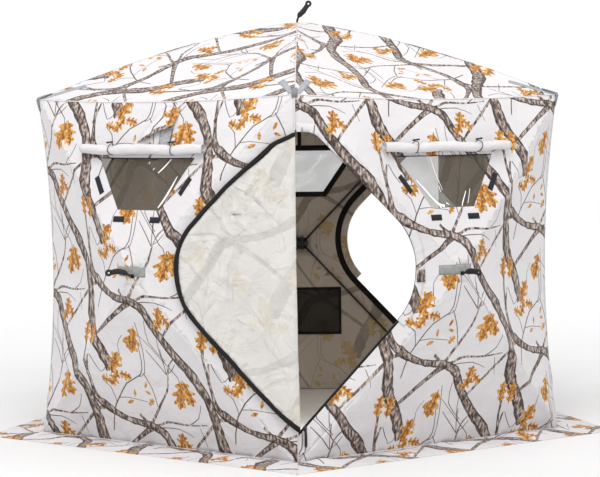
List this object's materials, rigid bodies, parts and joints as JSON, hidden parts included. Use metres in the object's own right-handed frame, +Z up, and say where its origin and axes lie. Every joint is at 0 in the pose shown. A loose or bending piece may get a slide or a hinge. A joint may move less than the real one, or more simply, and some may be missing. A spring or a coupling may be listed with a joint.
{
  "type": "pop-up ground blind",
  "caption": "Five-sided pop-up hub shelter with bulged walls, pitched roof, snow skirt, fold-back half-diamond corner doors and trapezoid windows with rolled covers.",
  "frame": {"origin": "on the ground, under the centre of the whole outline's box", "axes": "+Z up, -Y towards the front corner with the open door, +X to the right seen from the front"},
  "size_m": [3.2558, 3.1616, 2.2685],
  "materials": {
    "snow_print": "matte",
    "pole": "satin",
    "hub_plastic": "matte",
    "pull_leather": "satin",
    "toggle_plastic": "matte",
    "velcro": "matte",
    "window_film": "gloss",
    "mesh": "matte",
    "zip_tape": "matte",
    "zip_metal": "polished",
    "pull_cord": "matte"
  },
  "bodies": {
    "root": {"wall_front_left": "snow_print", "wall_front_right": "snow_print", "wall_rear_right": "snow_print", "wall_rear": "snow_print", "wall_rear_left": "snow_print", "roof_canopy": "snow_print", "snow_skirt": "snow_print", "pole_cups": "hub_plastic", "doorway_tapes": "zip_tape", "window_panes": "window_film", "window_covers": "snow_print", "cover_toggles": "toggle_plastic", "velcro_tabs": "velcro", "vent_hoods": "snow_print", "mesh_pocket": "mesh"},
    "hub_front_left": {"hub_front_left": "hub_plastic"},
    "pole_front_left_top_right": {"pole_front_left_top_right": "pole"},
    "pole_front_left_top_left": {"pole_front_left_top_left": "pole"},
    "pole_front_left_bottom_left": {"pole_front_left_bottom_left": "pole"},
    "pole_front_left_bottom_right": {"pole_front_left_bottom_right": "pole"},
    "pull_handle_front_left": {"pull_handle_front_left": "pull_leather"},
    "hub_front_right": {"hub_front_right": "hub_plastic"},
    "pole_front_right_top_right": {"pole_front_right_top_right": "pole"},
    "pole_front_right_top_left": {"pole_front_right_top_left": "pole"},
    "pole_front_right_bottom_left": {"pole_front_right_bottom_left": "pole"},
    "pole_front_right_bottom_right": {"pole_front_right_bottom_right": "pole"},
    "pull_handle_front_right": {"pull_handle_front_right": "pull_leather"},
    "hub_rear_right": {"hub_rear_right": "hub_plastic"},
    "pole_rear_right_top_right": {"pole_rear_right_top_right": "pole"},
    "pole_rear_right_top_left": {"pole_rear_right_top_left": "pole"},
    "pole_rear_right_bottom_left": {"pole_rear_right_bottom_left": "pole"},
    "pole_rear_right_bottom_right": {"pole_rear_right_bottom_right": "pole"},
    "pull_handle_rear_right": {"pull_handle_rear_right": "pull_leather"},
    "hub_rear": {"hub_rear": "hub_plastic"},
    "pole_rear_top_right": {"pole_rear_top_right": "pole"},
    "pole_rear_top_left": {"pole_rear_top_left": "pole"},
    "pole_rear_bottom_left": {"pole_rear_bottom_left": "pole"},
    "pole_rear_bottom_right": {"pole_rear_bottom_right": "pole"},
    "pull_handle_rear": {"pull_handle_rear": "pull_leather"},
    "hub_rear_left": {"hub_rear_left": "hub_plastic"},
    "pole_rear_left_top_right": {"pole_rear_left_top_right": "pole"},
    "pole_rear_left_top_left": {"pole_rear_left_top_left": "pole"},
    "pole_rear_left_bottom_left": {"pole_rear_left_bottom_left": "pole"},
    "pole_rear_left_bottom_right": {"pole_rear_left_bottom_right": "pole"},
    "pull_handle_rear_left": {"pull_handle_rear_left": "pull_leather"},
    "hub_roof": {"hub_roof": "hub_plastic"},
    "roof_pole_front": {"roof_pole_front": "pole"},
    "roof_pole_right": {"roof_pole_right": "pole"},
    "roof_pole_rear_right": {"roof_pole_rear_right": "pole"},
    "roof_pole_rear_left": {"roof_pole_rear_left": "pole"},
    "roof_pole_left": {"roof_pole_left": "pole"},
    "pull_handle_roof": {"pull_handle_roof": "pull_leather"},
    "door_flap_front": {"door_flap_front": "snow_print", "door_flap_tape_front": "zip_tape"},
    "zip_slider_front": {"zip_slider_front": "zip_metal"},
    "zip_pull_front": {"zip_pull_front": "pull_cord"},
    "door_flap_rear": {"door_flap_rear": "snow_print", "door_flap_tape_rear": "zip_tape"},
    "zip_slider_rear": {"zip_slider_rear": "zip_metal"},
    "zip_pull_rear": {"zip_pull_rear": "pull_cord"}
  },
  "joints": [
    {"name": "front_left_hub_pop", "type": "slide", "parent": "root", "child": "hub_front_left", "axis": [-0.5878, -0.809, 0], "range_m": [-0.422, 0], "deforming": ["wall_front_left"]},
    {"name": "pole_front_left_top_right_swing", "type": "hinge", "parent": "hub_front_left", "child": "pole_front_left_top_right", "pos_m": [-0.77656, -0.97081, 0.89277], "axis": [-0.5856, 0.4255, 0.69], "range_deg": [-21.72, 0]},
    {"name": "pole_front_left_top_left_swing", "type": "hinge", "parent": "hub_front_left", "child": "pole_front_left_top_left", "pos_m": [-0.80782, -0.9481, 0.89277], "axis": [-0.5856, 0.4255, -0.69], "range_deg": [-21.72, 0]},
    {"name": "pole_front_left_bottom_left_swing", "type": "hinge", "parent": "hub_front_left", "child": "pole_front_left_bottom_left", "pos_m": [-0.80782, -0.9481, 0.85223], "axis": [0.5856, -0.4255, -0.69], "range_deg": [-21.72, 0]},
    {"name": "pole_front_left_bottom_right_swing", "type": "hinge", "parent": "hub_front_left", "child": "pole_front_left_bottom_right", "pos_m": [-0.77656, -0.97081, 0.85223], "axis": [0.5856, -0.4255, 0.69], "range_deg": [-21.72, 0]},
    {"name": "pull_handle_front_left_swing", "type": "hinge", "parent": "hub_front_left", "child": "pull_handle_front_left", "pos_m": [-0.80806, -0.9813, 0.8725], "axis": [0, 0, 1], "range_deg": [-24, 132]},
    {"name": "front_right_hub_pop", "type": "slide", "parent": "root", "child": "hub_front_right", "axis": [0.5878, -0.809, 0], "range_m": [-0.422, 0], "deforming": ["wall_front_right"]},
    {"name": "pole_front_right_top_right_swing", "type": "hinge", "parent": "hub_front_right", "child": "pole_front_right_top_right", "pos_m": [0.80782, -0.9481, 0.89277], "axis": [-0.5856, -0.4255, 0.69], "range_deg": [-21.72, 0]},
    {"name": "pole_front_right_top_left_swing", "type": "hinge", "parent": "hub_front_right", "child": "pole_front_right_top_left", "pos_m": [0.77656, -0.97081, 0.89277], "axis": [-0.5856, -0.4255, -0.69], "range_deg": [-21.72, 0]},
    {"name": "pole_front_right_bottom_left_swing", "type": "hinge", "parent": "hub_front_right", "child": "pole_front_right_bottom_left", "pos_m": [0.77656, -0.97081, 0.85223], "axis": [0.5856, 0.4255, -0.69], "range_deg": [-21.72, 0]},
    {"name": "pole_front_right_bottom_right_swing", "type": "hinge", "parent": "hub_front_right", "child": "pole_front_right_bottom_right", "pos_m": [0.80782, -0.9481, 0.85223], "axis": [0.5856, 0.4255, 0.69], "range_deg": [-21.72, 0]},
    {"name": "pull_handle_front_right_swing", "type": "hinge", "parent": "hub_front_right", "child": "pull_handle_front_right", "pos_m": [0.80806, -0.9813, 0.8725], "axis": [0, 0, 1], "range_deg": [-81, 75]},
    {"name": "rear_right_hub_pop", "type": "slide", "parent": "root", "child": "hub_rear_right", "axis": [0.9511, 0.309, 0], "range_m": [-0.422, 0], "deforming": ["wall_rear_right"]},
    {"name": "pole_rear_right_top_right_swing", "type": "hinge", "parent": "hub_rear_right", "child": "pole_rear_right_top_right", "pos_m": [1.27582, 0.56576, 0.89277], "axis": [0.2237, -0.6884, 0.69], "range_deg": [-21.72, 0]},
    {"name": "pole_rear_right_top_left_swing", "type": "hinge", "parent": "hub_rear_right", "child": "pole_rear_right_top_left", "pos_m": [1.28777, 0.52901, 0.89277], "axis": [0.2237, -0.6884, -0.69], "range_deg": [-21.72, 0]},
    {"name": "pole_rear_right_bottom_left_swing", "type": "hinge", "parent": "hub_rear_right", "child": "pole_rear_right_bottom_left", "pos_m": [1.28777, 0.52901, 0.85223], "axis": [-0.2237, 0.6884, -0.69], "range_deg": [-21.72, 0]},
    {"name": "pole_rear_right_bottom_right_swing", "type": "hinge", "parent": "hub_rear_right", "child": "pole_rear_right_bottom_right", "pos_m": [1.27582, 0.56576, 0.85223], "axis": [-0.2237, 0.6884, 0.69], "range_deg": [-21.72, 0]},
    {"name": "pull_handle_rear_right_swing", "type": "hinge", "parent": "hub_rear_right", "child": "pull_handle_rear_right", "pos_m": [1.30747, 0.55573, 0.8725], "axis": [0, 0, 1], "range_deg": [-118, 38]},
    {"name": "rear_hub_pop", "type": "slide", "parent": "root", "child": "hub_rear", "axis": [0, 1, 0], "range_m": [-0.422, 0], "deforming": ["wall_rear"]},
    {"name": "pole_rear_top_right_swing", "type": "hinge", "parent": "hub_rear", "child": "pole_rear_top_right", "pos_m": [-0.01932, 1.47866, 0.89277], "axis": [0.7238, 0, 0.69], "range_deg": [-21.72, 0]},
    {"name": "pole_rear_top_left_swing", "type": "hinge", "parent": "hub_rear", "child": "pole_rear_top_left", "pos_m": [0.01932, 1.47866, 0.89277], "axis": [0.7238, 0, -0.69], "range_deg": [-21.72, 0]},
    {"name": "pole_rear_bottom_left_swing", "type": "hinge", "parent": "hub_rear", "child": "pole_rear_bottom_left", "pos_m": [0.01932, 1.47866, 0.85223], "axis": [-0.7238, 0, -0.69], "range_deg": [-21.72, 0]},
    {"name": "pole_rear_bottom_right_swing", "type": "hinge", "parent": "hub_rear", "child": "pole_rear_bottom_right", "pos_m": [-0.01932, 1.47866, 0.85223], "axis": [-0.7238, 0, 0.69], "range_deg": [-21.72, 0]},
    {"name": "pull_handle_rear_swing", "type": "hinge", "parent": "hub_rear", "child": "pull_handle_rear", "pos_m": [0, 1.50566, 0.8725], "axis": [0, 0, 1], "range_deg": [-24, 132]},
    {"name": "rear_left_hub_pop", "type": "slide", "parent": "root", "child": "hub_rear_left", "axis": [-0.9511, 0.309, 0], "range_m": [-0.422, 0], "deforming": ["wall_rear_left"]},
    {"name": "pole_rear_left_top_right_swing", "type": "hinge", "parent": "hub_rear_left", "child": "pole_rear_left_top_right", "pos_m": [-1.28777, 0.52901, 0.89277], "axis": [0.2237, 0.6884, 0.69], "range_deg": [-21.72, 0]},
    {"name": "pole_rear_left_top_left_swing", "type": "hinge", "parent": "hub_rear_left", "child": "pole_rear_left_top_left", "pos_m": [-1.27582, 0.56576, 0.89277], "axis": [0.2237, 0.6884, -0.69], "range_deg": [-21.72, 0]},
    {"name": "pole_rear_left_bottom_left_swing", "type": "hinge", "parent": "hub_rear_left", "child": "pole_rear_left_bottom_left", "pos_m": [-1.27582, 0.56576, 0.85223], "axis": [-0.2237, -0.6884, -0.69], "range_deg": [-21.72, 0]},
    {"name": "pole_rear_left_bottom_right_swing", "type": "hinge", "parent": "hub_rear_left", "child": "pole_rear_left_bottom_right", "pos_m": [-1.28777, 0.52901, 0.85223], "axis": [-0.2237, -0.6884, 0.69], "range_deg": [-21.72, 0]},
    {"name": "pull_handle_rear_left_swing", "type": "hinge", "parent": "hub_rear_left", "child": "pull_handle_rear_left", "pos_m": [-1.30747, 0.55573, 0.8725], "axis": [0, 0, 1], "range_deg": [-18, 138]},
    {"name": "roof_hub_pop", "type": "slide", "parent": "root", "child": "hub_roof", "axis": [0, 0, 1], "range_m": [-0.784, 0], "deforming": ["roof_canopy"]},
    {"name": "roof_pole_front_swing", "type": "hinge", "parent": "hub_roof", "child": "roof_pole_front", "pos_m": [0, 0.0969, 2.134], "axis": [1, 0, 0], "range_deg": [-34.33, 0]},
    {"name": "roof_pole_right_swing", "type": "hinge", "parent": "hub_roof", "child": "roof_pole_right", "pos_m": [0.03234, 0.1204, 2.134], "axis": [0.309, 0.9511, 0], "range_deg": [-34.33, 0]},
    {"name": "roof_pole_rear_right_swing", "type": "hinge", "parent": "hub_roof", "child": "roof_pole_rear_right", "pos_m": [0.01998, 0.15841, 2.134], "axis": [-0.809, 0.5878, 0], "range_deg": [-34.33, 0]},
    {"name": "roof_pole_rear_left_swing", "type": "hinge", "parent": "hub_roof", "child": "roof_pole_rear_left", "pos_m": [-0.01998, 0.15841, 2.134], "axis": [-0.809, -0.5878, 0], "range_deg": [-34.33, 0]},
    {"name": "roof_pole_left_swing", "type": "hinge", "parent": "hub_roof", "child": "roof_pole_left", "pos_m": [-0.03234, 0.1204, 2.134], "axis": [0.309, -0.9511, 0], "range_deg": [-34.33, 0]},
    {"name": "pull_handle_roof_swing", "type": "hinge", "parent": "hub_roof", "child": "pull_handle_roof", "pos_m": [0, 0.1309, 2.162], "axis": [0, 1, 0], "range_deg": [-112, 44]},
    {"name": "front_door_fold", "type": "hinge", "parent": "root", "child": "door_flap_front", "pos_m": [0, -1.28773, 0.85], "axis": [0, 0, 1], "range_deg": [0, 221.16]},
    {"name": "front_zip_slide", "type": "slide", "parent": "root", "child": "zip_slider_front", "axis": [0.662, 0.2485, 0.7071], "range_m": [0, 0.67]},
    {"name": "front_zip_pull_swing", "type": "hinge", "parent": "zip_slider_front", "child": "zip_pull_front", "pos_m": [0.03393, -1.27606, 0.1654], "axis": [0.3515, -0.9362, 0], "range_deg": [-95, 95]},
    {"name": "rear_door_fold", "type": "hinge", "parent": "root", "child": "door_flap_rear", "pos_m": [0.83385, 1.2786, 0.85], "axis": [0, 0, 1], "range_deg": [0, 221.16]},
    {"name": "rear_zip_slide", "type": "slide", "parent": "root", "child": "zip_slider_rear", "axis": [-0.6816, 0.188, 0.7071], "range_m": [0, 0.67]},
    {"name": "rear_zip_pull_swing", "type": "hinge", "parent": "zip_slider_rear", "child": "zip_pull_rear", "pos_m": [0.79953, 1.2891, 0.1654], "axis": [0.2659, 0.964, 0], "range_deg": [-95, 95]}
  ],
  "couplings": [
    {"joint": "pole_front_left_top_right_swing", "follows": "front_left_hub_pop", "rad_per_m": 0.89627},
    {"joint": "pole_front_left_top_left_swing", "follows": "front_left_hub_pop", "rad_per_m": 0.89627},
    {"joint": "pole_front_left_bottom_left_swing", "follows": "front_left_hub_pop", "rad_per_m": 0.89627},
    {"joint": "pole_front_left_bottom_right_swing", "follows": "front_left_hub_pop", "rad_per_m": 0.89627},
    {"joint": "pole_front_right_top_right_swing", "follows": "front_right_hub_pop", "rad_per_m": 0.89627},
    {"joint": "pole_front_right_top_left_swing", "follows": "front_right_hub_pop", "rad_per_m": 0.89627},
    {"joint": "pole_front_right_bottom_left_swing", "follows": "front_right_hub_pop", "rad_per_m": 0.89627},
    {"joint": "pole_front_right_bottom_right_swing", "follows": "front_right_hub_pop", "rad_per_m": 0.89627},
    {"joint": "pole_rear_right_top_right_swing", "follows": "rear_right_hub_pop", "rad_per_m": 0.89627},
    {"joint": "pole_rear_right_top_left_swing", "follows": "rear_right_hub_pop", "rad_per_m": 0.89627},
    {"joint": "pole_rear_right_bottom_left_swing", "follows": "rear_right_hub_pop", "rad_per_m": 0.89627},
    {"joint": "pole_rear_right_bottom_right_swing", "follows": "rear_right_hub_pop", "rad_per_m": 0.89627},
    {"joint": "pole_rear_top_right_swing", "follows": "rear_hub_pop", "rad_per_m": 0.89627},
    {"joint": "pole_rear_top_left_swing", "follows": "rear_hub_pop", "rad_per_m": 0.89627},
    {"joint": "pole_rear_bottom_left_swing", "follows": "rear_hub_pop", "rad_per_m": 0.89627},
    {"joint": "pole_rear_bottom_right_swing", "follows": "rear_hub_pop", "rad_per_m": 0.89627},
    {"joint": "pole_rear_left_top_right_swing", "follows": "rear_left_hub_pop", "rad_per_m": 0.89627},
    {"joint": "pole_rear_left_top_left_swing", "follows": "rear_left_hub_pop", "rad_per_m": 0.89627},
    {"joint": "pole_rear_left_bottom_left_swing", "follows": "rear_left_hub_pop", "rad_per_m": 0.89627},
    {"joint": "pole_rear_left_bottom_right_swing", "follows": "rear_left_hub_pop", "rad_per_m": 0.89627},
    {"joint": "roof_pole_front_swing", "follows": "roof_hub_pop", "rad_per_m": 0.76317},
    {"joint": "roof_pole_right_swing", "follows": "roof_hub_pop", "rad_per_m": 0.76317},
    {"joint": "roof_pole_rear_right_swing", "follows": "roof_hub_pop", "rad_per_m": 0.76317},
    {"joint": "roof_pole_rear_left_swing", "follows": "roof_hub_pop", "rad_per_m": 0.76317},
    {"joint": "roof_pole_left_swing", "follows": "roof_hub_pop", "rad_per_m": 0.76317}
  ]
}
